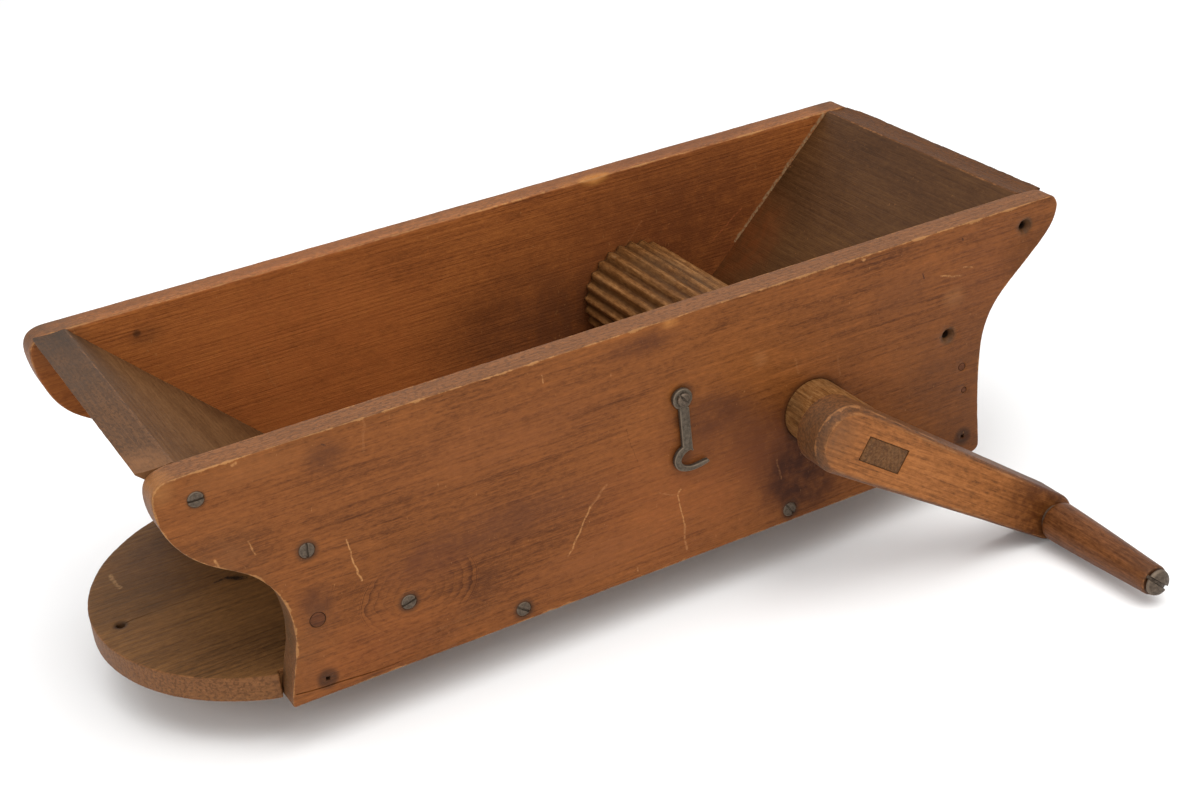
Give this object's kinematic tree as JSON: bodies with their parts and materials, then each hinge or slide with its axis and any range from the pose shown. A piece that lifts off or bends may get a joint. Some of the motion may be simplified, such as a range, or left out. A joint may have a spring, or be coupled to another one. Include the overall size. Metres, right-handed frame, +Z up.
{
  "type": "butter worker",
  "caption": "Wooden butter worker: an open trough with sloped ends, a fluted roller across it turned by a hand crank, and a rounded tongue for holding it to a table.",
  "frame": {"origin": "middle of the trough's underside, on the face it rests on", "axes": "+X along the trough towards the roller's end, +Y from the crank side to the back board, +Z up"},
  "size_m": [0.7656, 0.51, 0.2405],
  "materials": {
    "side_wood": "old pine, oiled and worn, lighter along the edges",
    "end_wood": "old pine, grey-brown on the worn top edge",
    "base_wood": "old pine, darker, dull",
    "plug_wood": "end grain, dull",
    "roller_wood": "turned hardwood, dry and greyish",
    "arm_wood": "hardwood, hand worn",
    "handle_wood": "hardwood, polished by hands",
    "iron": "aged dark iron",
    "forged_iron": "hammered dark iron"
  },
  "bodies": {
    "trough": {"front_board": "side_wood", "back_board": "side_wood", "left_end_board": "end_wood", "right_end_board": "end_wood", "base_board": "base_wood", "front_end_screws": "iron", "back_end_screws": "iron", "front_base_screws": "iron", "back_base_screws": "iron", "board_plug": "plug_wood", "peg_plugs": "plug_wood", "hook_screw": "iron"},
    "roller": {"fluted_roller": "roller_wood", "crank_arm": "arm_wood", "handle_bolt": "iron", "handle_washer": "iron", "nut_washer": "iron", "handle_nut": "iron"},
    "handle": {"crank_handle": "handle_wood"},
    "hook": {"hook": "forged_iron"}
  },
  "joints": [
    {"name": "roller_spin", "type": "hinge", "parent": "trough", "child": "roller", "pos_m": [0.1335, 0, 0.0883], "axis": [0, -1, 0], "continuous": true},
    {"name": "handle_spin", "type": "hinge", "parent": "roller", "child": "handle", "pos_m": [0.29037, -0.25, -0.02154], "axis": [0, -1, 0], "continuous": true},
    {"name": "hook_swing", "type": "hinge", "parent": "trough", "child": "hook", "pos_m": [0.0198, -0.152, 0.1365], "axis": [0, -1, 0], "continuous": true}
  ]
}
